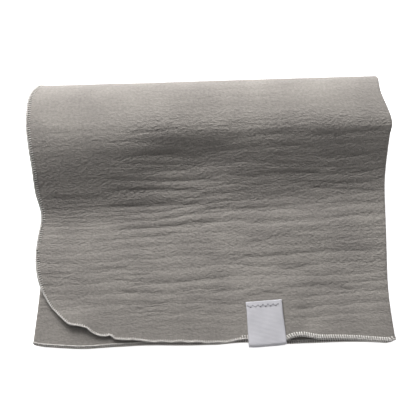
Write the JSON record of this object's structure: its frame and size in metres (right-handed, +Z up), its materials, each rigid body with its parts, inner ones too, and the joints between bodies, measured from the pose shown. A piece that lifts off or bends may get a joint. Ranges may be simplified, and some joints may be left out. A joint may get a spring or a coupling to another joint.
{
  "type": "gauze cloth",
  "caption": "Gauze cloth with overlocked hems, folded across its width and doubled over into a soft round fold, with a blank woven label sewn round its front hem.",
  "frame": {"origin": "on the table, under the middle of the folded cloth's box", "axes": "+X across the cloth to the folded right edge, +Y from the front hems to the round fold, +Z up"},
  "size_m": [0.2356, 0.1784, 0.0346],
  "materials": {
    "gauze": "crinkled warm grey double gauze, matt",
    "satin": "white woven satin ribbon, soft sheen"
  },
  "bodies": {
    "root": {"cloth": "gauze", "label": "satin"}
  },
  "joints": []
}
